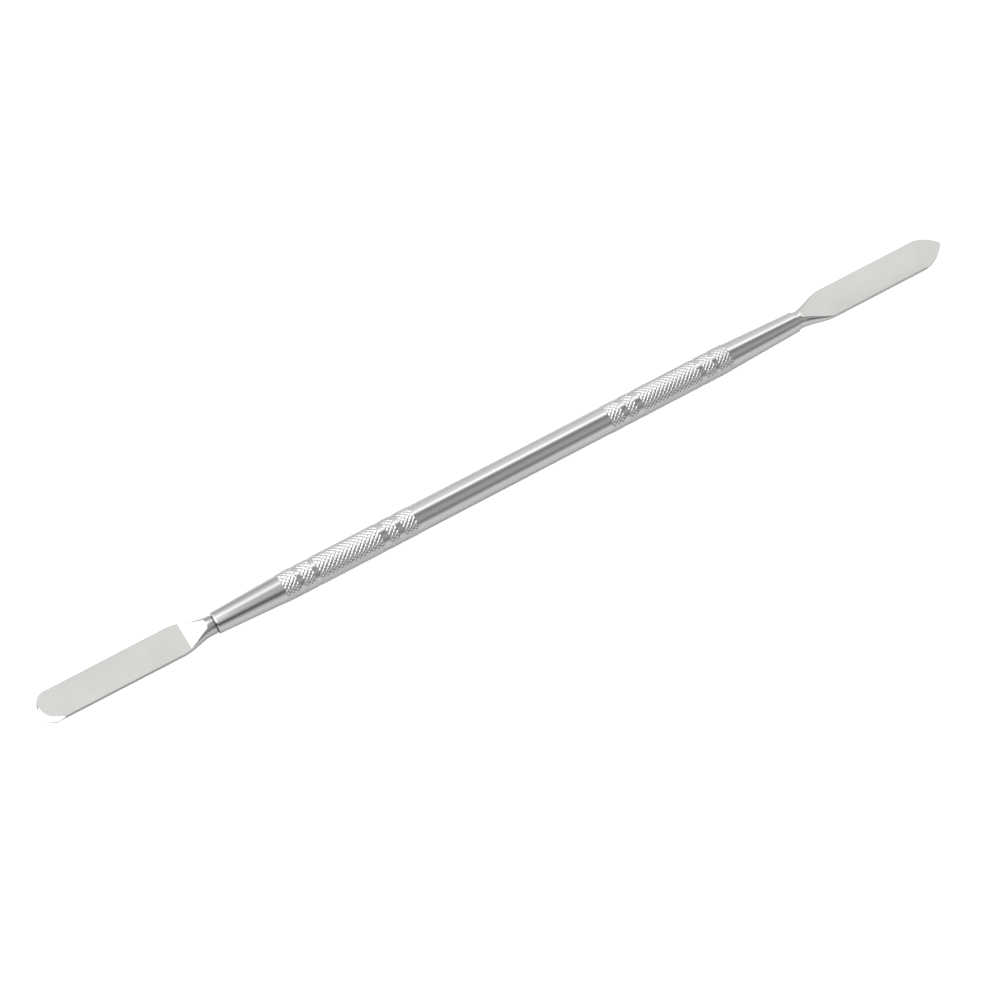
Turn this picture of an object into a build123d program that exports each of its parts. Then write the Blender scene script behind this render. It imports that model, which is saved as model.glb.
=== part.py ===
from build123d import *
from math import radians, sqrt, tan
import os

# A double-ended metal spudger: a knurled tube handle with a flat blade pressed in at each end.
# Millimetres. X runs along the tool, towards the pointed blade. Z is up, square to the
# blades' faces. The origin is under the middle of the tool, on the surface that it lies on.

# Overall
overall_length = 180.0       # tip to tip
round_blade_reach = 31.7     # from the tube's mouth to the tip
pointed_blade_reach = 32.1

# Handle tube
barrel_diameter = 5.0
barrel_wall = 0.6
mouth_wall = 0.525           # of the tube's swaged ends, round the tangs
mouth_lip_radius = 0.2       # round on the outer edge of each mouth
cone_length_round = 12.4     # plain part of the swaged cone at the round blade's end
cone_length_pointed = 14.8   # the same at the pointed blade's end
cone_run_in = 1.3            # how far the cone runs in under the outermost knurled band
funnel_length = 1.0          # least length of the slope between the two bores

# Knurling, in bands parted by smooth lands, listed from the cone towards the middle
knurl_crest = 0.05           # height of the diamonds' points over the barrel
knurl_bands = (2.75, 2.15, 12.1, 1.8, 2.6)
knurl_lands = (0.75, 0.85, 1.15, 1.0)
band_chamfer = 0.04

# Shank of each blade
tang_diameter = 2.8
tang_length = 9.0
tang_chamfer = 0.3
tang_fit = 0.0               # radial clearance of the tang in the tube: a press fit
tang_end_room = 0.5          # depth of the fitted bore past the tang's end
neck_shoulder = 0.25         # how far the neck stands out over the tang
neck_groove_width = 0.3      # relief between the mouth and the neck
neck_flat = 0.02             # left between the neck's four arcs, to match the later sections

# Blades
blade_thickness = 0.7
blade_rise = 0.6             # middle of the blade over the handle's axis
blade_edge_radius = 0.15
step_radius = 0.7            # hollow where the ground face runs out at the neck
flare_steps = 5              # sections between the neck and the full width

# Round-ended blade, its places along X counted from the tube's mouth
round_width_at_flare = 5.95
round_width_at_end = 5.85
round_end_length = 2.3       # the half-oval end, along X
round_neck_length = 0.9
round_groove_depth = 0.25
round_flare_end = 7.2
round_face_start = 1.95      # foot of the hollow
round_ramp_length = 3.5      # slope from the hollow to the flat of the face
round_ramp_height = 0.45
round_bevel_depth = 0.35     # of the bevel ground on the upper edge of the tip
round_bevel_width = 0.42     # at the very tip
round_bevel_side_width = 0.7  # where the end meets one long edge
round_bevel_run_out = 1.4    # along that edge, until the bevel is gone

# Pointed blade, its end an arch of two unequal arcs and a rounded nose
pointed_width = 6.1
pointed_neck_length = 0.5
pointed_groove_depth = 0.03
pointed_flare_end = 7.0
pointed_face_start = 1.3
pointed_ramp_length = 5.4
pointed_ramp_height = 0.55
pointed_front_radius = 8.2   # of the arc on the -Y side
pointed_back_radius = 5.8    # of the arc on the +Y side
pointed_back_setback = 1.4   # how much nearer the tip the second arc starts
pointed_nose_radius = 0.4

# What follows from them
barrel_radius = barrel_diameter / 2
bore_radius = barrel_radius - barrel_wall
tang_radius = tang_diameter / 2
tang_bore_radius = tang_radius + tang_fit
mouth_radius = tang_bore_radius + mouth_wall
neck_radius = tang_radius + neck_shoulder
axis_height = barrel_radius + knurl_crest
tip_x = overall_length / 2
round_mouth_x = tip_x - round_blade_reach
pointed_mouth_x = tip_x - pointed_blade_reach
face_z = axis_height + blade_rise + blade_thickness / 2
spare = 1.0                  # how far a cutting shape runs past what it cuts


def handle_half(mouth_x, cone_length):
    """Half of the tube, from the middle to the mouth at +X, as a solid of revolution on X."""
    zone_end = mouth_x - cone_length
    taper_start = zone_end - cone_run_in
    taper = (barrel_radius - mouth_radius) / (mouth_x - taper_start)

    def outside(x):
        return barrel_radius - taper * max(0.0, x - taper_start)

    # outer outline from the mouth back to the middle, with a low step at each band
    outline = [(mouth_x, mouth_radius), (zone_end, outside(zone_end))]
    x = zone_end
    for number, band in enumerate(knurl_bands):
        end = x - band
        crest_start = x - band_chamfer
        crest_end = end + band_chamfer
        outline.append((crest_start, outside(crest_start) + knurl_crest))
        if crest_end < taper_start < crest_start:
            outline.append((taper_start, barrel_radius + knurl_crest))
        outline.append((crest_end, outside(crest_end) + knurl_crest))
        outline.append((end, outside(end)))
        if number < len(knurl_lands):
            x = end - knurl_lands[number]
            outline.append((x, outside(x)))
    outline.append((0, barrel_radius))

    # inner outline from the middle out to the mouth
    bore_end = mouth_x - tang_length - tang_end_room
    outline.append((0, bore_radius))
    outline.append((min(taper_start, bore_end - funnel_length), bore_radius))
    outline.append((bore_end, tang_bore_radius))
    outline.append((mouth_x, tang_bore_radius))

    profile = Plane.XZ * make_face(Polyline(*outline, close=True))
    half = revolve(profile, Axis.X)
    lip = half.edges().filter_by(GeomType.CIRCLE).group_by(Axis.X)[-1].sort_by(SortBy.RADIUS)[-1]
    return fillet(lip, mouth_lip_radius)


def make_handle():
    pointed_half = handle_half(pointed_mouth_x, cone_length_pointed)
    round_half = handle_half(round_mouth_x, cone_length_round).rotate(Axis.Z, 180)
    return Pos(0, 0, axis_height) * (pointed_half + round_half)


def smooth_step(share):
    return share * share * (3 - 2 * share)


def arc_controls(centre, radius, start, end):
    """The four control points of a cubic curve that follows an arc of up to a quarter turn."""
    reach = radius * 4 / 3 * tan(radians(end - start) / 4)
    first = Vector(radius, 0).rotate(Axis.Z, start)
    last = Vector(radius, 0).rotate(Axis.Z, end)
    out = Vector(0, reach).rotate(Axis.Z, start)
    back = Vector(0, -reach).rotate(Axis.Z, end)
    return [centre + first, centre + first + out, centre + last + back, centre + last]


def cross_section(x, width, height, corner, rise):
    """Across the tool at x, a rectangle with round corners, as eight curves in a fixed order."""
    plane = Plane((x, 0, axis_height + rise), x_dir=(0, 1, 0), z_dir=(1, 0, 0))
    corners = []
    for number, (side, up) in enumerate(((1, 1), (-1, 1), (-1, -1), (1, -1))):
        centre = Vector(side * (width / 2 - corner), up * (height / 2 - corner))
        corners.append(arc_controls(centre, corner, 90 * number, 90 * number + 90))
    edges = []
    for number, arc in enumerate(corners):
        first = corners[number - 1][3]
        last = arc[0]
        straight = [first + (last - first) * (n / 3) for n in range(4)]
        for curve in (straight, arc):
            edges.append(Bezier(*[plane.from_local_coords(point) for point in curve]))
    return make_face(edges)


def make_body(mouth_x, neck_length, groove_depth, flare_end, width, end_width, end_length):
    """The neck, the forged shoulder and the blade's strip, before its face and tip are cut."""
    neck_end = mouth_x + neck_length
    flare_length = flare_end - neck_length
    neck_corner = neck_radius - neck_flat / 2
    sections = []
    for step in range(flare_steps + 1):
        share = step / flare_steps
        left = 1 - share
        sections.append(
            cross_section(
                neck_end + share * flare_length,
                2 * neck_radius + (width - 2 * neck_radius) * smooth_step(share),
                blade_thickness + (2 * neck_radius - blade_thickness) * left,
                blade_edge_radius + (neck_corner - blade_edge_radius) * left,
                blade_rise * share,
            )
        )
    end_start = cross_section(
        tip_x - end_length, end_width, blade_thickness, blade_edge_radius, blade_rise
    )
    strip = loft([sections[-1], end_start]) + extrude(end_start, end_length + spare, dir=(1, 0, 0))
    neck = extrude(sections[0], neck_length - neck_groove_width, dir=(-1, 0, 0))
    mouth = Plane((mouth_x, 0, axis_height), z_dir=(1, 0, 0))
    groove_floor = mouth * Cylinder(
        neck_radius - groove_depth,
        neck_groove_width,
        align=(Align.CENTER, Align.CENTER, Align.MIN),
    )
    tang = mouth * Cylinder(
        tang_radius, tang_length, align=(Align.CENTER, Align.CENTER, Align.MAX)
    )
    tang = chamfer(tang.edges().filter_by(GeomType.CIRCLE).sort_by(Axis.X)[0], tang_chamfer)
    return tang + groove_floor + neck + loft(sections) + strip


def above_face(mouth_x, face_start, ramp_length, ramp_height):
    """What grinding takes off over the blade's face: a hollow at the neck, a ramp, then the flat."""
    foot_x = mouth_x + face_start
    foot_z = face_z + ramp_height
    high = axis_height + barrel_diameter
    far = tip_x + spare
    hollow_x = foot_x - step_radius
    hollow_z = foot_z + step_radius
    path = [
        (foot_x, foot_z),
        (foot_x + ramp_length, face_z),
        (far, face_z),
        (far, high),
        (hollow_x, high),
        (hollow_x, hollow_z),
    ]
    hollow = CenterArc((foot_x, hollow_z), step_radius, 180, 90)
    side = Plane.XZ * make_face([hollow, Polyline(*path)])
    return extrude(side, 2 * barrel_diameter, both=True)


def tip_outline(mouth_x, end, start_low, start_high):
    """In plan, the tip's outline from one long edge to the other, with room round the rest."""
    reach = 2 * barrel_diameter
    back = mouth_x - tang_length - spare
    corners = [(start_high[0], reach), (back, reach), (back, -reach), (start_low[0], -reach)]
    return make_face([*end, Polyline(start_high, *corners, start_low)])


def make_round_blade():
    """Modelled at +X, then turned round to the other end."""
    mouth_x = round_mouth_x
    width = round_width_at_end
    start = tip_x - round_end_length
    body = make_body(
        mouth_x,
        round_neck_length,
        round_groove_depth,
        round_flare_end,
        round_width_at_flare,
        width,
        round_end_length,
    )
    blade = body - above_face(mouth_x, round_face_start, round_ramp_length, round_ramp_height)
    low = (start, -width / 2)
    high = (start, width / 2)
    end = EllipticalCenterArc((start, 0), round_end_length, width / 2, -90, arc_size=180)
    outline = tip_outline(mouth_x, [end], low, high)
    blade &= extrude(outline, 2 * face_z)

    # the bevel: above its lower edge the outline leans back, and to one side
    run_out = (start - round_bevel_run_out, width / 2 + round_bevel_side_width)
    outline = tip_outline(mouth_x, [end, Line(high, run_out)], low, run_out)
    lower_edge = face_z - round_bevel_depth
    tall = 3 * barrel_diameter / round_bevel_depth
    lean = Vector(-round_bevel_width, -round_bevel_side_width, round_bevel_depth) * tall
    leaning = extrude(Pos(0, 0, lower_edge) * outline, lean.length, dir=lean)
    room = Box(2 * overall_length, 8 * barrel_diameter, lower_edge)
    blade &= Pos(0, 0, lower_edge / 2) * room + leaning
    return blade.rotate(Axis.Z, 180)


def circles_meet(first, first_radius, second, second_radius):
    """The point at the given distances from two centres, on the side towards +X."""
    apart = second - first
    along = (apart.length**2 + first_radius**2 - second_radius**2) / (2 * apart.length)
    off = sqrt(first_radius**2 - along**2)
    way = apart.normalized()
    one = first + way * along + way.rotate(Axis.Z, 90) * off
    other = first + way * along - way.rotate(Axis.Z, 90) * off
    return max(one, other, key=lambda point: point.X)


def make_pointed_blade():
    mouth_x = pointed_mouth_x
    width = pointed_width
    nose_radius = pointed_nose_radius

    # centres of the two arcs and of the nose, first with the front arc starting at X = 0
    front = Vector(0, pointed_front_radius - width / 2)
    back = Vector(pointed_back_setback, width / 2 - pointed_back_radius)
    nose = circles_meet(
        front, pointed_front_radius - nose_radius, back, pointed_back_radius - nose_radius
    )
    shift = Vector(tip_x - nose_radius - nose.X, 0)
    front, back, nose = front + shift, back + shift, nose + shift

    low = (front.X, -width / 2)
    high = (back.X, width / 2)
    front_touch = front + (nose - front).normalized() * pointed_front_radius
    back_touch = back + (nose - back).normalized() * pointed_back_radius
    end = [
        TangentArc(low, front_touch, tangent=(1, 0)),
        ThreePointArc(front_touch, nose + Vector(nose_radius, 0), back_touch),
        TangentArc(high, back_touch, tangent=(1, 0)),
    ]
    body = make_body(
        mouth_x,
        pointed_neck_length,
        pointed_groove_depth,
        pointed_flare_end,
        width,
        width,
        tip_x - low[0],
    )
    blade = body - above_face(
        mouth_x, pointed_face_start, pointed_ramp_length, pointed_ramp_height
    )
    return blade & extrude(tip_outline(mouth_x, end, low, high), 2 * face_z)


os.makedirs("parts", exist_ok=True)
export_step(make_handle(), "parts/handle.step")
export_step(make_round_blade(), "parts/round_blade.step")
export_step(make_pointed_blade(), "parts/pointed_blade.step")
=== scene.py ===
"""A double-ended metal spudger: a knurled tube handle with a flat blade pressed in at each end.

Sizes below are millimetres, as in the part's drawing, and mm() turns them into Blender's metres.
X runs along the tool, towards the pointed blade, Z is up, and the tool lies on Z = 0.
"""

import math

import bpy
from mathutils import Matrix, Vector


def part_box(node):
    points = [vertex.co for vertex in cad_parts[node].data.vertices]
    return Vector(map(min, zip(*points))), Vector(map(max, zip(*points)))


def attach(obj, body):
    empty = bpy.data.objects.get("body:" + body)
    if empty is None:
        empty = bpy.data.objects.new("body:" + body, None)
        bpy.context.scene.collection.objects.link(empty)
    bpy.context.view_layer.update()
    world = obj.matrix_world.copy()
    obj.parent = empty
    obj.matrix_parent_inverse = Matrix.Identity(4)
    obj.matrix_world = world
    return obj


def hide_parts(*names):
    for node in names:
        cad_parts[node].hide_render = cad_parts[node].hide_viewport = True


MM = 0.001

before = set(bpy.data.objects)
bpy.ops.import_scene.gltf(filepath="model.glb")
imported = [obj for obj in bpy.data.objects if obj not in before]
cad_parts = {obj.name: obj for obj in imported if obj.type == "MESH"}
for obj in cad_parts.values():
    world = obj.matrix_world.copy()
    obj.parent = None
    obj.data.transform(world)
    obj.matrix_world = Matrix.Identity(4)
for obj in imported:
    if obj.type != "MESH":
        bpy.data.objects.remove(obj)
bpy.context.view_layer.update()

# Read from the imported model
handle_low, handle_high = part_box("handle")
pointed_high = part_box("pointed_blade")[1]
ROUND_MOUTH_X = -handle_low[0] / MM
POINTED_MOUTH_X = handle_high[0] / MM
TIP_X = round(pointed_high[0] / MM, 3)
CREST_RADIUS = (handle_high[2] - handle_low[2]) / MM / 2
AXIS_HEIGHT = CREST_RADIUS

# Handle
BARREL_RADIUS = 2.5
ROOT_RADIUS = 2.475          # bottom of the knurl's grooves
BORE_RADIUS = 1.9
WALL_MIDDLE = 2.2            # between the bore and the outside, wherever the tube is knurled
MOUTH_RADIUS = 1.925
MOUTH_LIP = 0.2
CONE_LENGTH_ROUND = 12.4
CONE_LENGTH_POINTED = 14.8
CONE_RUN_IN = 1.3
FUNNEL_LENGTH = 1.0

# Knurling, listed from the cone towards the middle
KNURL_BANDS = (2.75, 2.15, 12.1, 1.8, 2.6)
KNURL_LANDS = (0.75, 0.85, 1.15, 1.0)
KNURL_STARTS = 18            # diamonds round the tube
KNURL_PERIOD = 6             # rows, and columns, from one diamond to the next
KNURL_ROW = 0.145            # length of a row along X
KNURL_HEIGHTS = (0.0, 0.7, 0.98, 1.0)  # from the groove to the middle of a diamond
BAND_WALL = 0.02

# Shank of each blade
TANG_RADIUS = 1.4
TANG_LENGTH = 9.0
TANG_CHAMFER = 0.3
TANG_END_ROOM = 0.5
NECK_RADIUS = 1.65
NECK_GROOVE_WIDTH = 0.3

# Blades
BLADE_THICKNESS = 0.7
BLADE_RISE = 0.6
BLADE_EDGE_RADIUS = 0.15
STEP_RADIUS = 0.7
STEP_ARC_POINTS = 24
FLARE_STEPS = 24
FACE_Z = AXIS_HEIGHT + BLADE_RISE + BLADE_THICKNESS / 2
RING_POINTS = 96

# Round-ended blade, with places along X counted from the tube's mouth
ROUND_NECK_LENGTH = 0.9
ROUND_GROOVE_DEPTH = 0.25
ROUND_FLARE_END = 7.2
ROUND_WIDTH_AT_FLARE = 5.95
ROUND_WIDTH_AT_END = 5.85
ROUND_END_LENGTH = 2.3       # the arc's length along X
ROUND_ARC_STEPS = 60
ROUND_FACE_START = 1.95
ROUND_RAMP_LENGTH = 3.5
ROUND_RAMP_HEIGHT = 0.45
BEVEL_DEPTH = 0.35
BEVEL_WIDTH = 0.42
BEVEL_SIDE_WIDTH = 0.7
BEVEL_LEAVES_ARC = 52        # the step of the tip's arc at which the bevel leaves it
BEVEL_RUN = 3.0

# Pointed blade, likewise
POINTED_NECK_LENGTH = 0.5
POINTED_GROOVE_DEPTH = 0.03
POINTED_FLARE_END = 7.0
POINTED_WIDTH = 6.1
POINTED_FACE_START = 1.3
POINTED_RAMP_LENGTH = 5.4
POINTED_RAMP_HEIGHT = 0.55
FRONT_ARC_RADIUS = 8.2
BACK_ARC_RADIUS = 5.8
BACK_ARC_SETBACK = 1.4
NOSE_RADIUS = 0.4
ARCH_STEPS = 20              # in each of the two arcs
NOSE_STEPS = 30

# Edges and faces
SOFT_EDGE = 0.03
SOFT_EDGE_ANGLE = 30         # degrees, and only edges sharper than this are softened
CRISP_ANGLE = 5              # degrees, above which a ground edge is drawn as a line
FACE_MARGIN = 0.05
FLAT_NORMAL = 0.985          # a face whose normal is this upright is a ground one
UPRIGHT_NORMAL = 0.3         # and one below this stands upright
TIP_EDGE_X = 87.0            # past here a blade's upright edge is the sheared one round its tip

# Modelling
SPARE = 1.0                  # how far a body or a cutter runs on past the metal
ROOM_LENGTH = 200.0          # half the size of a block that takes in the whole tool
ROOM_WIDTH = 20.0
MERGE_DISTANCE = 0.0005
RING_TOLERANCE = 0.001
GROOVE_WALL = 0.002          # the groove's sides lean by this much, so that no two rings coincide

# Camera, 36 mm sensor. It starts looking straight down, is rolled, then leant left and forward.
CAMERA_LENS = 87.4
CAMERA_ROLL = 27.6262
CAMERA_LEAN_LEFT = 16.5
CAMERA_LEAN_FORWARD = 24.0
CAMERA_PLACE = (-122.289, -163.828, 361.25)

# Steel, the same for every piece. Lengths are metres where a shader takes them.
RUBBED_COLOUR = (0.72, 0.715, 0.705, 1)
RUBBED_SHARE = 0.5
WEAR_RADIUS = 0.00008
WEAR_SMOOTHS = -0.06
# Roughness added wherever the painted shade in recesses falls
PAINTED_SHADE_ROUGHENS = 0.15
LEAST_ROUGHNESS = 0.05
LINE_STRENGTH = 0.5
EDGE_SAMPLES = 6

# Studio
FLOOR_SIZE = 6.0             # metres
FLOOR_TONE = 0.61
FLOOR_GLOW = 0.02
FLOOR_SEEN_GLOW = 0.85       # added where the camera sees the floor itself
STUDIO_STRENGTH = 1.15
ROUND_TO_MIDDLE = (-0.14, 0.02)    # where one light gives way to the next, by direction along X
MIDDLE_TO_POINTED = (0.12, 0.22)


def mm(*values):
    """Millimetres to metres."""
    return tuple(value * MM for value in values)


# ---------------------------------------------------------------- modelling tools


def deselect_all():
    if bpy.context.object and bpy.context.object.mode != "OBJECT":
        bpy.ops.object.mode_set(mode="OBJECT")
    bpy.ops.object.select_all(action="DESELECT")


def make_active(obj):
    deselect_all()
    obj.select_set(True)
    bpy.context.view_layer.objects.active = obj


def edit(obj):
    make_active(obj)
    bpy.ops.object.mode_set(mode="EDIT")


def leave_edit():
    bpy.ops.object.mode_set(mode="OBJECT")


def select_vertices(obj, indices):
    """Selects these vertices and no others. Works from edit mode and returns to it."""
    bpy.ops.mesh.select_mode(type="VERT")
    bpy.ops.mesh.select_all(action="DESELECT")
    bpy.ops.object.mode_set(mode="OBJECT")
    for index in indices:
        obj.data.vertices[index].select = True
    bpy.ops.object.mode_set(mode="EDIT")


def select_points(obj, test):
    """Selects the vertices whose place passes the test."""
    select_vertices(obj, [v.index for v in obj.data.vertices if test(v.co / MM)])


def pen(name, points):
    """A line of edges drawn through the points, which are millimetres."""
    deselect_all()
    bpy.ops.mesh.primitive_plane_add(size=MM, location=mm(*points[0]))
    obj = bpy.context.object
    obj.name = obj.data.name = name
    bpy.ops.object.mode_set(mode="EDIT")
    bpy.ops.mesh.select_mode(type="VERT")
    bpy.ops.mesh.select_all(action="SELECT")
    bpy.ops.mesh.merge(type="CENTER")
    for here, there in zip(points, points[1:]):
        step = [(b - a) * MM for a, b in zip(here, there)]
        bpy.ops.mesh.extrude_region_move(TRANSFORM_OT_translate={"value": step})
    return obj


def close_line():
    """Joins the two ends of the line in edit mode."""
    bpy.ops.mesh.select_all(action="SELECT")
    bpy.ops.mesh.remove_doubles(threshold=MERGE_DISTANCE * MM)


def settle(obj):
    """Puts the object's origin at the world's, with its place kept in the mesh."""
    make_active(obj)
    bpy.ops.object.transform_apply(location=True, rotation=True, scale=True)


def apply_modifier(obj, kind, **settings):
    make_active(obj)
    modifier = obj.modifiers.new(kind.title(), kind)
    for name, value in settings.items():
        setattr(modifier, name, value)
    bpy.ops.object.modifier_apply(modifier=modifier.name)


def outside_out(obj):
    edit(obj)
    bpy.ops.mesh.select_all(action="SELECT")
    bpy.ops.mesh.remove_doubles(threshold=MERGE_DISTANCE * MM)
    bpy.ops.mesh.normals_make_consistent(inside=False)
    leave_edit()


# ---------------------------------------------------------------- handle


ENDS = {
    -1: (ROUND_MOUTH_X, CONE_LENGTH_ROUND),
    1: (POINTED_MOUTH_X, CONE_LENGTH_POINTED),
}


def band_spans():
    """Start and end of each knurled band along X, in both halves."""
    spans = []
    for side, (mouth_x, cone_length) in ENDS.items():
        x = mouth_x - cone_length
        for number, band in enumerate(KNURL_BANDS):
            spans.append(sorted((side * x, side * (x - band))))
            x -= band
            if number < len(KNURL_LANDS):
                x -= KNURL_LANDS[number]
    return sorted(spans)


def taper_drop(x):
    """How much less the radius is at x than at the middle."""
    mouth_x, cone_length = ENDS[1 if x > 0 else -1]
    taper_start = mouth_x - cone_length - CONE_RUN_IN
    slope = (BARREL_RADIUS - MOUTH_RADIUS) / (mouth_x - taper_start)
    return slope * max(0.0, abs(x) - taper_start)


def band_rows(start, end):
    """Places along X of a knurled band's rows, evenly spaced between its two walls."""
    room = end - start - 2 * BAND_WALL
    rows = round(room / KNURL_ROW)
    return [start + BAND_WALL + row * room / rows for row in range(rows + 1)]


def lip(side):
    """The rounded outer edge of a mouth, from its face to its side."""
    centre_x = ENDS[side][0] - MOUTH_LIP
    centre_r = MOUTH_RADIUS - MOUTH_LIP
    points = []
    for step in range(7):
        turn = math.radians(90 * step / 6)
        x = centre_x + MOUTH_LIP * math.cos(turn)
        points.append((side * x, centre_r + MOUTH_LIP * math.sin(turn)))
    return points


def outer_line():
    """The tube's outside, with the knurled bands still plain and sunk to the grooves' depth."""
    line = lip(-1)
    for start, end in band_spans():
        for x in (start - BAND_WALL, start):
            line.append((x, BARREL_RADIUS - taper_drop(x)))
        for x in band_rows(start, end):
            line.append((x, ROOT_RADIUS - taper_drop(x)))
        for x in (end, end + BAND_WALL):
            line.append((x, BARREL_RADIUS - taper_drop(x)))
    return line + lip(1)[::-1]


def inner_line():
    line = []
    for side in (1, -1):
        mouth_x, cone_length = ENDS[side]
        taper_start = mouth_x - cone_length - CONE_RUN_IN
        fitted_end = mouth_x - TANG_LENGTH - TANG_END_ROOM
        funnel = min(taper_start, fitted_end - FUNNEL_LENGTH)
        part = [(mouth_x, TANG_RADIUS), (fitted_end, TANG_RADIUS), (funnel, BORE_RADIUS)]
        if side < 0:
            part.reverse()
        line += [(side * x, radius) for x, radius in part]
    return line


def knurl_share(row, column):
    """Height of the knurl here, from 0 in a groove to 1 in the middle of a diamond."""
    half = KNURL_PERIOD // 2
    rising = abs((row + column) % KNURL_PERIOD - half)
    falling = abs((row - column) % KNURL_PERIOD - half)
    return KNURL_HEIGHTS[min(rising, falling)]


def knurl_row(x):
    """The number of the knurl row at x in its band, or None off the bands."""
    for start, end in band_spans():
        if start + BAND_WALL / 2 < x < end - BAND_WALL / 2:
            rows = band_rows(start, end)
            row = round((x - rows[0]) / (rows[1] - rows[0]))
            return row if 0 <= row < len(rows) else None
    return None


def raise_knurl(obj):
    """Lifts everything between the grooves to its height in the diamond, one height at a time."""
    columns = KNURL_STARTS * KNURL_PERIOD
    shares = {}
    for vertex in obj.data.vertices:
        place = vertex.co / MM
        up = place.z - AXIS_HEIGHT
        radius = math.hypot(place.y, up)
        row = knurl_row(place.x)
        if row is not None and radius > WALL_MIDDLE:
            column = round(math.atan2(place.y, up) / math.tau * columns)
            shares[vertex.index] = knurl_share(row, column)
    for share in KNURL_HEIGHTS[1:]:
        select_vertices(obj, [index for index, here in shares.items() if here == share])
        size = 1 + share * (CREST_RADIUS - ROOT_RADIUS) / ROOT_RADIUS
        bpy.ops.transform.resize(value=(1, size, size), center_override=mm(0, 0, AXIS_HEIGHT))


def split_knurl_faces(obj):
    """Splits the bands' four-sided faces in two along their shorter diagonals."""
    spans = band_spans()

    def in_band(place):
        far = math.hypot(place.y, place.z - AXIS_HEIGHT) > WALL_MIDDLE
        return far and any(a + BAND_WALL / 2 < place.x < b - BAND_WALL / 2 for a, b in spans)

    select_points(obj, in_band)
    bpy.ops.mesh.select_mode(type="FACE")
    bpy.ops.mesh.quads_convert_to_tris(quad_method="SHORTEST_DIAGONAL")
    bpy.ops.mesh.select_mode(type="VERT")


def make_handle():
    line = outer_line() + inner_line()
    line.append(line[0])
    obj = pen("knurled_handle", [(x, 0, AXIS_HEIGHT + radius) for x, radius in line])
    close_line()
    bpy.ops.mesh.select_all(action="SELECT")
    bpy.ops.mesh.spin(
        steps=KNURL_STARTS * KNURL_PERIOD,
        angle=math.tau,
        center=mm(0, 0, AXIS_HEIGHT),
        axis=(1, 0, 0),
    )
    leave_edit()
    settle(obj)
    outside_out(obj)
    edit(obj)
    raise_knurl(obj)
    split_knurl_faces(obj)
    leave_edit()
    make_active(obj)
    bpy.ops.object.shade_smooth_by_angle(angle=math.radians(30))
    return obj


# ---------------------------------------------------------------- blades


def smooth_step(share):
    return share * share * (3 - 2 * share)


class Bar:
    """A bar drawn out ring by ring towards +X. Each ring is a circle, its quarters moved apart."""

    def __init__(self, name, x, radius):
        deselect_all()
        bpy.ops.mesh.primitive_circle_add(
            vertices=RING_POINTS,
            radius=radius * MM,
            fill_type="NGON",
            location=mm(x, 0, AXIS_HEIGHT),
            rotation=(0, math.pi / 2, 0),
        )
        self.obj = bpy.context.object
        self.obj.name = self.obj.data.name = name
        settle(self.obj)
        edit(self.obj)
        bpy.ops.mesh.select_all(action="SELECT")
        half_step = math.pi / RING_POINTS
        middle = mm(x, 0, AXIS_HEIGHT)
        bpy.ops.transform.rotate(value=half_step, orient_axis="X", center_override=middle)
        self.x, self.corner = x, radius
        self.side, self.up, self.rise = 0.0, 0.0, 0.0

    def quarters(self, x):
        """Each quarter of the ring at x: its signs across and up, its centre, its vertices."""
        bpy.ops.object.mode_set(mode="OBJECT")
        found = []
        for across in (1, -1):
            for upward in (1, -1):
                centre = (x, across * self.side, AXIS_HEIGHT + self.rise + upward * self.up)
                indices = []
                for vertex in self.obj.data.vertices:
                    place = vertex.co / MM
                    high = place.z - AXIS_HEIGHT - self.rise
                    if abs(place.x - x) < RING_TOLERANCE and place.y * across > 0 and high * upward > 0:
                        indices.append(vertex.index)
                found.append((across, upward, centre, indices))
        bpy.ops.object.mode_set(mode="EDIT")
        return found

    def on(self, x, width, height, corner, rise):
        """Draws the bar on to x, with a new width, height, corner radius and rise."""
        step = mm(x - self.x, 0, 0)
        bpy.ops.mesh.extrude_region_move(TRANSFORM_OT_translate={"value": step})
        side = width / 2 - corner
        up = height / 2 - corner
        size = corner / self.corner
        quarters = self.quarters(x)
        for across, upward, centre, indices in quarters:
            select_vertices(self.obj, indices)
            bpy.ops.transform.resize(value=(1, size, size), center_override=mm(*centre))
            move_up = upward * (up - self.up) + rise - self.rise
            move = mm(0, across * (side - self.side), move_up)
            bpy.ops.transform.translate(value=move)
        self.x, self.corner, self.side, self.up, self.rise = x, corner, side, up, rise
        select_vertices(self.obj, [index for quarter in quarters for index in quarter[3]])


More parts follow.
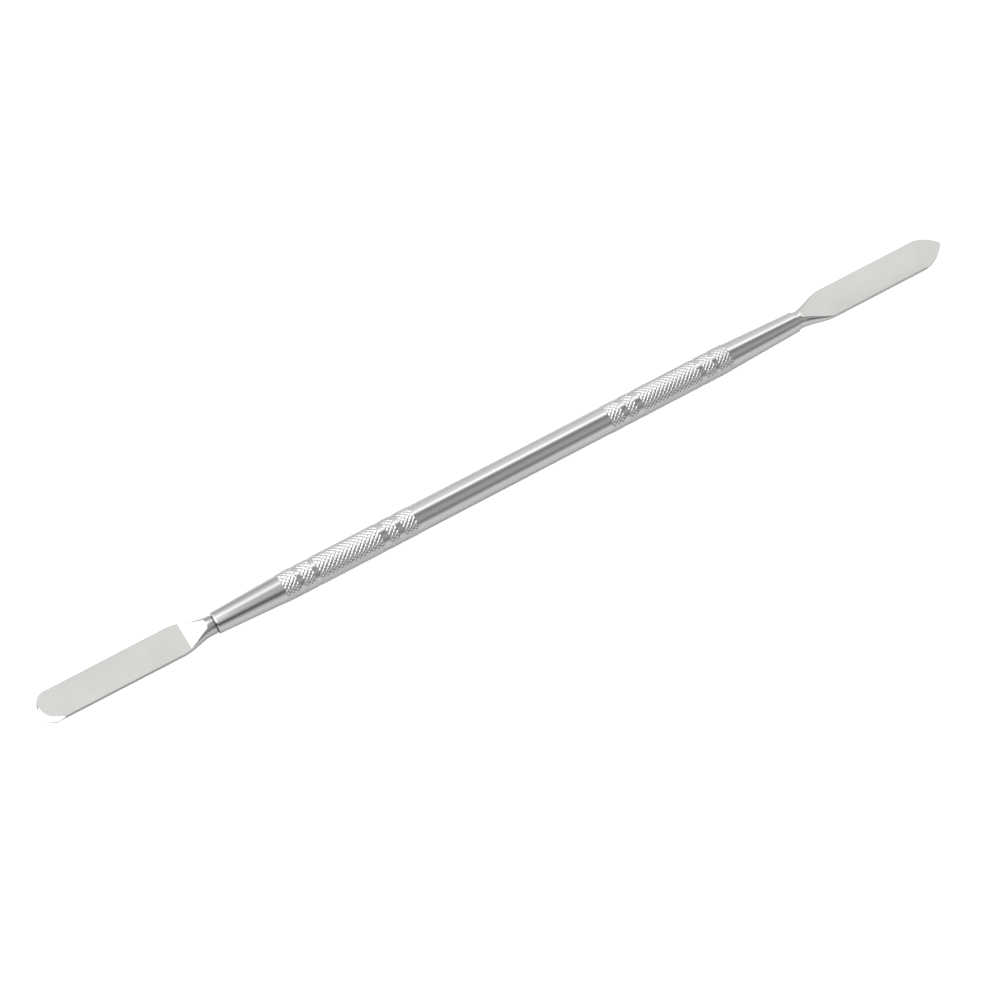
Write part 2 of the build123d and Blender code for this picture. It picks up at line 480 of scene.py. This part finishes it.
def draw_body(name, mouth_x, neck_length, groove_depth, flare_end, width, end_width, end_length):
    """Tang, relief groove, neck, forged shoulder and strip, drawn as one bar up to the tip."""
    tang_end = mouth_x - TANG_LENGTH
    groove_end = mouth_x + NECK_GROOVE_WIDTH
    neck_end = mouth_x + neck_length
    bar = Bar(name, tang_end, TANG_RADIUS - TANG_CHAMFER)

    def round_to(x, radius):
        bar.on(x, 2 * radius, 2 * radius, radius, 0.0)

    round_to(tang_end + TANG_CHAMFER, TANG_RADIUS)
    round_to(mouth_x - GROOVE_WALL, TANG_RADIUS)
    round_to(mouth_x, NECK_RADIUS - groove_depth)
    round_to(groove_end, NECK_RADIUS - groove_depth)
    round_to(groove_end + GROOVE_WALL, NECK_RADIUS)
    round_to(neck_end, NECK_RADIUS)
    for step in range(1, FLARE_STEPS + 1):
        share = step / FLARE_STEPS
        left = 1 - share
        bar.on(
            neck_end + share * (flare_end - neck_length),
            2 * NECK_RADIUS + (width - 2 * NECK_RADIUS) * smooth_step(share),
            BLADE_THICKNESS + (2 * NECK_RADIUS - BLADE_THICKNESS) * left,
            BLADE_EDGE_RADIUS + (NECK_RADIUS - BLADE_EDGE_RADIUS) * left,
            BLADE_RISE * share,
        )
    bar.on(TIP_X - end_length, end_width, BLADE_THICKNESS, BLADE_EDGE_RADIUS, BLADE_RISE)
    bar.on(TIP_X + SPARE, end_width, BLADE_THICKNESS, BLADE_EDGE_RADIUS, BLADE_RISE)
    bpy.ops.mesh.edge_face_add()
    leave_edit()
    outside_out(bar.obj)
    return bar.obj


def prism(name, outline, *pulls):
    """A closed outline filled and pulled along each of the given moves in turn."""
    obj = pen(name, outline + outline[:1])
    close_line()
    bpy.ops.mesh.select_all(action="SELECT")
    bpy.ops.mesh.edge_face_add()
    for pull in pulls:
        bpy.ops.mesh.extrude_region_move(TRANSFORM_OT_translate={"value": mm(*pull)})
    leave_edit()
    settle(obj)
    outside_out(obj)
    return obj


def above_face(mouth_x, face_start, ramp_length, ramp_height):
    """What grinding takes off over the face: a hollow at the neck, a ramp, then the flat."""
    foot_x = mouth_x + face_start
    foot_z = FACE_Z + ramp_height
    high = AXIS_HEIGHT + 2 * BARREL_RADIUS
    across = 2 * BARREL_RADIUS
    middle_z = foot_z + STEP_RADIUS
    line = arc_points(foot_x, middle_z, STEP_RADIUS, STEP_RADIUS, 180, 270, STEP_ARC_POINTS)
    line += [
        (foot_x + ramp_length, FACE_Z),
        (TIP_X + 2 * SPARE, FACE_Z),
        (TIP_X + 2 * SPARE, high),
        (line[0][0], high),
    ]
    outline = [(x, -across, z) for x, z in line]
    return prism("ground_away", outline, (0, 2 * across, 0))


def tip_outline(mouth_x, end):
    """In plan, the tip's outline from its low end to its high end, with room round the rest."""
    reach = 4 * BARREL_RADIUS
    back = mouth_x - TANG_LENGTH - SPARE
    around = [(end[-1][0], reach), (back, reach), (back, -reach), (end[0][0], -reach)]
    return end + around


def cut(obj, tool, operation):
    apply_modifier(obj, "BOOLEAN", object=tool, operation=operation, solver="EXACT")
    bpy.data.objects.remove(tool)


def cut_to_plan(obj, plan):
    outline = [(x, y, 0) for x, y in plan]
    cut(obj, prism("tip_outline", outline, (0, 0, 2 * FACE_Z)), "INTERSECT")


def soften(obj):
    """Takes the sharpness off the edges. Shallow ground edges stay crisp lines."""
    make_active(obj)
    bpy.ops.object.shade_smooth_by_angle(angle=math.radians(CRISP_ANGLE))
    apply_modifier(
        obj,
        "BEVEL",
        width=SOFT_EDGE * MM,
        segments=2,
        limit_method="ANGLE",
        angle_limit=math.radians(SOFT_EDGE_ANGLE),
        harden_normals=True,
    )


def arc_points(centre_x, centre_y, radius_x, radius_y, start, end, steps):
    """Points of an oval's arc between two angles, in degrees."""
    points = []
    for step in range(steps + 1):
        turn = math.radians(start + (end - start) * step / steps)
        points.append((centre_x + radius_x * math.cos(turn), centre_y + radius_y * math.sin(turn)))
    return points


def bevel_plan(mouth_x, start, end):
    """The tip's plan, with the bevel leaving the arc along a tangent to run out on the long edge."""
    before, after = end[BEVEL_LEAVES_ARC:BEVEL_LEAVES_ARC + 2]
    slope = (after[1] - before[1]) / (after[0] - before[0])
    away = (start - BEVEL_RUN, after[1] + slope * (start - BEVEL_RUN - after[0]))
    return tip_outline(mouth_x, end[:BEVEL_LEAVES_ARC + 2] + [away])


def grind_bevel(obj, plan):
    """Keeps what lies inside a leaning wall above the bevel's foot, and everything below it."""
    edge_z = FACE_Z - BEVEL_DEPTH
    more = 2 * BARREL_RADIUS / BEVEL_DEPTH
    lean = (-BEVEL_WIDTH * more, -BEVEL_SIDE_WIDTH * more, BEVEL_DEPTH * more)
    drop = tuple(-value for value in lean)
    low_plan = [(x + drop[0], y + drop[1], edge_z + drop[2]) for x, y in plan]
    leaning = prism("bevel_ground_away", low_plan, tuple(2 * value for value in lean))
    corners = ((1, 1), (-1, 1), (-1, -1), (1, -1))
    room = [(ROOM_LENGTH * along, ROOM_WIDTH * across, -SPARE) for along, across in corners]
    below = prism("below_bevel", room, (0, 0, edge_z + SPARE))
    cut(leaning, below, "UNION")
    cut(obj, leaning, "INTERSECT")


def make_round_blade():
    """Modelled towards +X like the other blade, then turned round to its own end."""
    mouth_x = ROUND_MOUTH_X
    start = TIP_X - ROUND_END_LENGTH
    obj = draw_body(
        "rounded_blade",
        mouth_x,
        neck_length=ROUND_NECK_LENGTH,
        groove_depth=ROUND_GROOVE_DEPTH,
        flare_end=ROUND_FLARE_END,
        width=ROUND_WIDTH_AT_FLARE,
        end_width=ROUND_WIDTH_AT_END,
        end_length=ROUND_END_LENGTH,
    )
    face = above_face(mouth_x, ROUND_FACE_START, ROUND_RAMP_LENGTH, ROUND_RAMP_HEIGHT)
    cut(obj, face, "DIFFERENCE")
    half_width = ROUND_WIDTH_AT_END / 2
    end = arc_points(start, 0, ROUND_END_LENGTH, half_width, -90, 90, ROUND_ARC_STEPS)
    cut_to_plan(obj, tip_outline(mouth_x, end))
    grind_bevel(obj, bevel_plan(mouth_x, start, end))
    soften(obj)
    edit(obj)
    bpy.ops.mesh.select_all(action="SELECT")
    bpy.ops.transform.rotate(value=math.pi, orient_axis="Z", center_override=(0, 0, 0))
    leave_edit()
    return obj


def circles_meet(first, first_radius, second, second_radius):
    """The point at the given distances from two centres, on the side towards +X."""
    apart = second - first
    along = (apart.length_squared + first_radius**2 - second_radius**2) / (2 * apart.length)
    off = math.sqrt(first_radius**2 - along**2)
    way = apart.normalized()
    aside = Vector((-way.y, way.x)) * off
    middle = first + way * along
    return max(middle + aside, middle - aside, key=lambda point: point.x)


def degrees_to(centre, point):
    way = point - centre
    return math.degrees(math.atan2(way.y, way.x))


def arched_end():
    """The arch's outline from its low end to its high one, and where along X the low end is."""
    front = Vector((0, FRONT_ARC_RADIUS - POINTED_WIDTH / 2))
    back = Vector((BACK_ARC_SETBACK, POINTED_WIDTH / 2 - BACK_ARC_RADIUS))
    to_front = FRONT_ARC_RADIUS - NOSE_RADIUS
    to_back = BACK_ARC_RADIUS - NOSE_RADIUS
    nose = circles_meet(front, to_front, back, to_back)
    shift = Vector((TIP_X - NOSE_RADIUS - nose.x, 0))
    front, back, nose = front + shift, back + shift, nose + shift
    front_turn = degrees_to(front, nose)
    back_turn = degrees_to(back, nose)
    end = arc_points(*front, FRONT_ARC_RADIUS, FRONT_ARC_RADIUS, -90, front_turn, ARCH_STEPS)
    end += arc_points(*nose, NOSE_RADIUS, NOSE_RADIUS, front_turn, back_turn, NOSE_STEPS)[1:]
    end += arc_points(*back, BACK_ARC_RADIUS, BACK_ARC_RADIUS, back_turn, 90, ARCH_STEPS)[1:]
    return end, front.x


def make_pointed_blade():
    mouth_x = POINTED_MOUTH_X
    end, end_start = arched_end()
    obj = draw_body(
        "arched_blade",
        mouth_x,
        neck_length=POINTED_NECK_LENGTH,
        groove_depth=POINTED_GROOVE_DEPTH,
        flare_end=POINTED_FLARE_END,
        width=POINTED_WIDTH,
        end_width=POINTED_WIDTH,
        end_length=TIP_X - end_start,
    )
    face = above_face(mouth_x, POINTED_FACE_START, POINTED_RAMP_LENGTH, POINTED_RAMP_HEIGHT)
    cut(obj, face, "DIFFERENCE")
    cut_to_plan(obj, tip_outline(mouth_x, end))
    soften(obj)
    return obj


# ---------------------------------------------------------------- materials


def new_material(name):
    material = bpy.data.materials.new(name)
    material.use_nodes = True
    material.node_tree.nodes.clear()
    return material, material.node_tree.nodes, material.node_tree.links


def new_group(name, inputs, outputs):
    """A shader node group. Inputs are (name, socket type, value), outputs are (name, socket type)."""
    tree = bpy.data.node_groups.new(name, "ShaderNodeTree")
    for label, kind, value in inputs:
        socket = tree.interface.new_socket(name=label, in_out="INPUT", socket_type=kind)
        socket.default_value = value
    for label, kind in outputs:
        tree.interface.new_socket(name=label, in_out="OUTPUT", socket_type=kind)
    return tree, tree.nodes.new("NodeGroupInput"), tree.nodes.new("NodeGroupOutput")


def place_group(nodes, tree, **values):
    node = nodes.new("ShaderNodeGroup")
    node.node_tree = tree
    for name, value in values.items():
        node.inputs[name.replace("_", " ")].default_value = value
    return node


def math_node(nodes, links, operation, *values):
    """A math node whose inputs are numbers or other nodes' outputs."""
    node = nodes.new("ShaderNodeMath")
    node.operation = operation
    for number, value in enumerate(values):
        if isinstance(value, (int, float)):
            node.inputs[number].default_value = value
        else:
            links.new(value, node.inputs[number])
    return node.outputs[0]


def mix_colours(nodes, links, factor, first, second):
    node = nodes.new("ShaderNodeMix")
    node.data_type = "RGBA"
    links.new(factor, node.inputs["Factor"])
    for name, value in (("A", first), ("B", second)):
        if isinstance(value, tuple):
            node.inputs[name].default_value = value
        else:
            links.new(value, node.inputs[name])
    return node.outputs["Result"]


def grain_group():
    """Fine lines that run along the tool, and soft cloudy patches between them."""
    tree, given, result = new_group(
        "lengthwise_grain",
        (
            ("Along", "NodeSocketFloat", 60.0),
            ("Across", "NodeSocketFloat", 9000.0),
            ("Patches", "NodeSocketFloat", 250.0),
        ),
        (("Lines", "NodeSocketFloat"), ("Clouds", "NodeSocketFloat")),
    )
    nodes, links = tree.nodes, tree.links
    place = nodes.new("ShaderNodeTexCoord")
    stretch = nodes.new("ShaderNodeCombineXYZ")
    links.new(given.outputs["Along"], stretch.inputs["X"])
    links.new(given.outputs["Across"], stretch.inputs["Y"])
    links.new(given.outputs["Across"], stretch.inputs["Z"])
    stretched = nodes.new("ShaderNodeVectorMath")
    stretched.operation = "MULTIPLY"
    links.new(place.outputs["Object"], stretched.inputs[0])
    links.new(stretch.outputs["Vector"], stretched.inputs[1])
    lines = nodes.new("ShaderNodeTexNoise")
    lines.inputs["Scale"].default_value = 1.0
    lines.inputs["Detail"].default_value = 4.0
    lines.inputs["Roughness"].default_value = 0.65
    links.new(stretched.outputs["Vector"], lines.inputs["Vector"])
    links.new(lines.outputs["Fac"], result.inputs["Lines"])
    clouds = nodes.new("ShaderNodeTexNoise")
    clouds.inputs["Detail"].default_value = 3.0
    links.new(place.outputs["Object"], clouds.inputs["Vector"])
    links.new(given.outputs["Patches"], clouds.inputs["Scale"])
    links.new(clouds.outputs["Fac"], result.inputs["Clouds"])
    return tree


def wear_group():
    """Where edges are rubbed bright: the turn of the surface within a small radius."""
    tree, given, result = new_group(
        "edge_wear",
        (("Radius", "NodeSocketFloat", 0.0001), ("Reach", "NodeSocketFloat", 6.0)),
        (("Worn", "NodeSocketFloat"),),
    )
    nodes, links = tree.nodes, tree.links
    rounded = nodes.new("ShaderNodeBevel")
    rounded.samples = EDGE_SAMPLES
    links.new(given.outputs["Radius"], rounded.inputs["Radius"])
    surface = nodes.new("ShaderNodeNewGeometry")
    same = nodes.new("ShaderNodeVectorMath")
    same.operation = "DOT_PRODUCT"
    links.new(rounded.outputs["Normal"], same.inputs[0])
    links.new(surface.outputs["Normal"], same.inputs[1])
    turned = math_node(nodes, links, "SUBTRACT", 1.0, same.outputs["Value"])
    worn = math_node(nodes, links, "MULTIPLY", turned, given.outputs["Reach"])
    links.new(math_node(nodes, links, "MINIMUM", worn, 1.0), result.inputs["Worn"])
    return tree


def recess_group():
    """Painted shade: how closed in each point is, by ambient occlusion, so that grooves, crevices and
    inner corners are darkened where shade falls.
    """
    tree, given, result = new_group(
        "painted_recess_shade",
        (("Depth", "NodeSocketFloat", 0.0003), ("Reach", "NodeSocketFloat", 1.5)),
        (("Painted_Shade", "NodeSocketFloat"),),
    )
    nodes, links = tree.nodes, tree.links
    open_sky = nodes.new("ShaderNodeAmbientOcclusion")
    open_sky.samples = EDGE_SAMPLES
    open_sky.only_local = True
    links.new(given.outputs["Depth"], open_sky.inputs["Distance"])
    shut = math_node(nodes, links, "SUBTRACT", 1.0, open_sky.outputs["AO"])
    painted_shade = math_node(nodes, links, "MULTIPLY", shut, given.outputs["Reach"])
    links.new(math_node(nodes, links, "MINIMUM", painted_shade, 1.0), result.inputs["Painted_Shade"])
    return tree


def steel(name, groups, tones, painted_shade_strength, recess_values, roughness, spread, line_height, grain_values):
    """Bare stainless steel. Tones are its darker and lighter colour, then the colour of the painted
    shade laid into its recesses.

    Spread is how far the roughness strays along the grain, and line_height its depth in mm.
    """
    grain_tree, wear_tree, recess_tree = groups
    material, nodes, links = new_material(name)
    out = nodes.new("ShaderNodeOutputMaterial")
    shader = nodes.new("ShaderNodeBsdfPrincipled")
    shader.inputs["Metallic"].default_value = 1.0
    links.new(shader.outputs["BSDF"], out.inputs["Surface"])

    grain = place_group(nodes, grain_tree, **grain_values)
    wear = place_group(nodes, wear_tree, Radius=WEAR_RADIUS)
    recess = place_group(nodes, recess_tree, **recess_values)

    darker, lighter, painted_shade_tone = tones
    body = mix_colours(nodes, links, grain.outputs["Clouds"], darker, lighter)
    rubbed = math_node(nodes, links, "MULTIPLY", wear.outputs["Worn"], RUBBED_SHARE)
    bright = mix_colours(nodes, links, rubbed, body, RUBBED_COLOUR)
    # Painted shade: the base colour darkens towards the shade tone where ambient occlusion finds a
    # groove, crevice or inner corner.
    painted_shade_share = math_node(nodes, links, "MULTIPLY", recess.outputs["Painted_Shade"], painted_shade_strength)
    links.new(mix_colours(nodes, links, painted_shade_share, bright, painted_shade_tone), shader.inputs["Base Color"])

    lines = math_node(nodes, links, "SUBTRACT", grain.outputs["Lines"], 0.5)
    uneven = math_node(nodes, links, "MULTIPLY_ADD", lines, spread, roughness)
    # The same painted-shade mask also raises the roughness there.
    duller = math_node(nodes, links, "MULTIPLY_ADD", recess.outputs["Painted_Shade"], PAINTED_SHADE_ROUGHENS, uneven)
    smoother = math_node(nodes, links, "MULTIPLY_ADD", wear.outputs["Worn"], WEAR_SMOOTHS, duller)
    links.new(math_node(nodes, links, "MAXIMUM", smoother, LEAST_ROUGHNESS), shader.inputs["Roughness"])

    bump = nodes.new("ShaderNodeBump")
    bump.inputs["Strength"].default_value = LINE_STRENGTH
    bump.inputs["Distance"].default_value = line_height * MM
    links.new(grain.outputs["Lines"], bump.inputs["Height"])
    links.new(bump.outputs["Normal"], shader.inputs["Normal"])
    return material


def make_steels():
    groups = grain_group(), wear_group(), recess_group()
    barrel = steel(
        "polished_barrel_steel",
        groups,
        tones=((0.51, 0.505, 0.5, 1), (0.57, 0.565, 0.557, 1), (0.2, 0.19, 0.18, 1)),
        painted_shade_strength=0.6,
        recess_values={"Depth": 0.0003, "Reach": 1.5},
        roughness=0.15,
        spread=0.1,
        line_height=0.001,
        grain_values={"Along": 60.0, "Across": 6000.0, "Patches": 180.0},
    )
    blade = steel(
        "satin_ground_steel",
        groups,
        tones=((0.37, 0.364, 0.354, 1), (0.42, 0.417, 0.407, 1), (0.16, 0.155, 0.15, 1)),
        painted_shade_strength=0.6,
        recess_values={"Depth": 0.0003, "Reach": 1.5},
        roughness=0.25,
        spread=0.12,
        line_height=0.0015,
        grain_values={"Along": 120.0, "Across": 7000.0, "Patches": 160.0},
    )
    neck = steel(
        "polished_neck_steel",
        groups,
        tones=((0.52, 0.515, 0.51, 1), (0.58, 0.575, 0.567, 1), (0.12, 0.115, 0.11, 1)),
        painted_shade_strength=0.6,
        recess_values={"Depth": 0.0003, "Reach": 1.5},
        roughness=0.09,
        spread=0.06,
        line_height=0.0005,
        grain_values={"Along": 80.0, "Across": 6000.0, "Patches": 200.0},
    )
    # Painted shade: a darker copy of the polished neck steel for the round blade's neck, with a
    # near-black tone and a strong, wide reach for the painted shade in its crevice.
    shaded_neck = steel(
        "neck_steel_painted_shade",
        groups,
        tones=((0.45, 0.445, 0.44, 1), (0.5, 0.495, 0.488, 1), (0.02, 0.019, 0.018, 1)),
        painted_shade_strength=1.0,
        recess_values={"Depth": 0.0008, "Reach": 4.0},
        roughness=0.1,
        spread=0.08,
        line_height=0.001,
        grain_values={"Along": 80.0, "Across": 6000.0, "Patches": 300.0},
    )
    # Painted shade as well as a rougher shear-cut finish: the tip's upright walls get a colour far
    # darker than the other steels.
    edge = steel(
        "sheared_edge_steel_painted_shade",
        groups,
        tones=((0.2, 0.196, 0.19, 1), (0.26, 0.256, 0.25, 1), (0.06, 0.058, 0.055, 1)),
        painted_shade_strength=0.6,
        recess_values={"Depth": 0.0003, "Reach": 1.5},
        roughness=0.35,
        spread=0.15,
        line_height=0.003,
        grain_values={"Along": 900.0, "Across": 4000.0, "Patches": 500.0},
    )
    return barrel, blade, neck, shaded_neck, edge


# ---------------------------------------------------------------- studio


def make_floor():
    deselect_all()
    bpy.ops.mesh.primitive_plane_add(size=FLOOR_SIZE, location=(0, 0, 0))
    floor = bpy.context.object
    floor.name = floor.data.name = "floor"
    material, nodes, links = new_material("pale_floor")
    out = nodes.new("ShaderNodeOutputMaterial")
    shader = nodes.new("ShaderNodeBsdfPrincipled")
    shader.inputs["Base Color"].default_value = (FLOOR_TONE, FLOOR_TONE, FLOOR_TONE, 1)
    shader.inputs["Roughness"].default_value = 0.9
    shader.inputs["Specular IOR Level"].default_value = 0.0
    shader.inputs["Emission Color"].default_value = (1, 1, 1, 1)
    seen = nodes.new("ShaderNodeLightPath")
    in_view = seen.outputs["Is Camera Ray"]
    glow = math_node(nodes, links, "MULTIPLY_ADD", in_view, FLOOR_SEEN_GLOW, FLOOR_GLOW)
    links.new(glow, shader.inputs["Emission Strength"])
    links.new(shader.outputs["BSDF"], out.inputs["Surface"])
    floor.data.materials.append(material)


# How bright the studio is round the tool's length, by degrees from overhead: minus is behind
# the tool and plus is in front. It differs along the tool, from its round end to its pointed end.
ROUND_END_LIGHT = (
    (-90, 1.0), (-60, 1.2), (-50, 3.2), (12, 3.2), (32, 1.0), (42, 0.3), (48, 0.06),
    (60, 0.06), (70, 0.4), (80, 0.8), (90, 0.9),
)
MIDDLE_LIGHT = (
    (-90, 0.4), (-72, 0.6), (-46, 0.8), (-36, 1.15), (-26, 1.4), (-14, 1.4), (-4, 0.65),
    (32, 0.62), (44, 0.3), (56, 0.12), (66, 0.25), (78, 0.6), (90, 0.7),
)
POINTED_END_LIGHT = (
    (-90, 0.6), (-76, 0.88), (-56, 0.95), (-42, 1.05), (-30, 1.65), (-20, 1.65), (-10, 0.5), (2, 0.28),
    (30, 0.5), (46, 0.5), (62, 0.3), (70, 0.34), (80, 0.6), (90, 0.85),
)


def light_ramp(nodes, links, share, stops):
    ramp = nodes.new("ShaderNodeValToRGB")
    elements = ramp.color_ramp.elements
    elements.remove(elements[-1])
    elements[0].position = 0.0
    elements[0].color = (*[stops[0][1]] * 3, 1)
    for angle, value in stops[1:]:
        element = elements.new((angle + 90) / 180)
        element.color = (value, value, value, 1)
    links.new(share, ramp.inputs["Fac"])
    return ramp.outputs["Color"]


def smooth_share(nodes, links, value, start, end):
    share = nodes.new("ShaderNodeMapRange")
    share.interpolation_type = "SMOOTHSTEP"
    share.inputs["From Min"].default_value = start
    share.inputs["From Max"].default_value = end
    links.new(value, share.inputs["Value"])
    return share.outputs["Result"]


def make_world():
    """Soft light whose brightness follows the three lists above, blended along X."""
    world = bpy.data.worlds.new("studio")
    bpy.context.scene.world = world
    world.use_nodes = True
    nodes, links = world.node_tree.nodes, world.node_tree.links
    nodes.clear()
    out = nodes.new("ShaderNodeOutputWorld")
    background = nodes.new("ShaderNodeBackground")
    direction = nodes.new("ShaderNodeTexCoord")
    split = nodes.new("ShaderNodeSeparateXYZ")
    links.new(direction.outputs["Generated"], split.inputs["Vector"])
    forward = math_node(nodes, links, "MULTIPLY", split.outputs["Y"], -1.0)
    turn = math_node(nodes, links, "ARCTAN2", forward, split.outputs["Z"])
    share = math_node(nodes, links, "MULTIPLY_ADD", turn, 1 / math.pi, 0.5)
    round_end, middle, pointed_end = [
        light_ramp(nodes, links, share, stops)
        for stops in (ROUND_END_LIGHT, MIDDLE_LIGHT, POINTED_END_LIGHT)
    ]
    past_round = smooth_share(nodes, links, split.outputs["X"], *ROUND_TO_MIDDLE)
    past_middle = smooth_share(nodes, links, split.outputs["X"], *MIDDLE_TO_POINTED)
    left = mix_colours(nodes, links, past_round, round_end, middle)
    colour = mix_colours(nodes, links, past_middle, left, pointed_end)
    links.new(colour, background.inputs["Color"])
    background.inputs["Strength"].default_value = STUDIO_STRENGTH
    links.new(background.outputs["Background"], out.inputs["Surface"])


def make_camera():
    data = bpy.data.cameras.new("camera")
    data.sensor_width = 36.0
    data.lens = CAMERA_LENS
    data.clip_start = 0.01
    data.clip_end = 20.0
    camera = bpy.data.objects.new("camera", data)
    bpy.context.scene.collection.objects.link(camera)
    roll = Matrix.Rotation(math.radians(-CAMERA_ROLL), 3, "Z")
    left = Matrix.Rotation(math.radians(-CAMERA_LEAN_LEFT), 3, "Y")
    forward = Matrix.Rotation(math.radians(CAMERA_LEAN_FORWARD), 3, "X")
    camera.rotation_euler = (forward @ left @ roll).to_euler()
    camera.location = mm(*CAMERA_PLACE)
    bpy.context.scene.camera = camera


def assign_faces(obj, slot_index, test):
    """Gives a material slot to the faces that pass the test, which gets a normal and a place."""
    edit(obj)
    bpy.ops.mesh.select_mode(type="FACE")
    bpy.ops.mesh.select_all(action="DESELECT")
    bpy.ops.object.mode_set(mode="OBJECT")
    for face in obj.data.polygons:
        face.select = test(face.normal, face.center / MM)
    obj.active_material_index = slot_index
    bpy.ops.object.mode_set(mode="EDIT")
    bpy.ops.object.material_slot_assign()
    bpy.ops.mesh.select_mode(type="VERT")
    leave_edit()


def dress_blade(obj, forged, ground, sheared_and_shaded, face_start):
    """Ground steel on the faces, shear-cut steel darkened as painted shade round the tip's edge, forged
    on the rest, which on the round blade is also darkened as painted shade.
    """
    for material in (forged, ground, sheared_and_shaded):
        obj.data.materials.append(material)

    def on_face(normal, at):
        return abs(normal.z) > FLAT_NORMAL and abs(at.x) > face_start

    def on_tip_edge(normal, at):
        return abs(normal.z) < UPRIGHT_NORMAL and abs(at.x) > TIP_EDGE_X

    assign_faces(obj, 1, on_face)
    # Slot 2 is the darkened steel, painted shade on the tip's upright walls.
    assign_faces(obj, 2, on_tip_edge)


handle = make_handle()
round_blade = make_round_blade()
pointed_blade = make_pointed_blade()
barrel_steel, satin_steel, neck_steel, shaded_neck_steel, sheared_shaded_steel = make_steels()
handle.data.materials.append(barrel_steel)
round_face_x = ROUND_MOUTH_X + ROUND_FACE_START - FACE_MARGIN
pointed_face_x = POINTED_MOUTH_X + POINTED_FACE_START - FACE_MARGIN
dress_blade(round_blade, shaded_neck_steel, satin_steel, sheared_shaded_steel, round_face_x)
dress_blade(pointed_blade, neck_steel, satin_steel, sheared_shaded_steel, pointed_face_x)
for obj, node, slot in (
    (handle, "handle", "handle_steel"),
    (round_blade, "round_blade", "blade_steel"),
    (pointed_blade, "pointed_blade", "blade_steel"),
):
    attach(obj, "root")
    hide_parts(node)

make_floor()
make_world()
make_camera()
bpy.context.scene.view_settings.view_transform = "Standard"
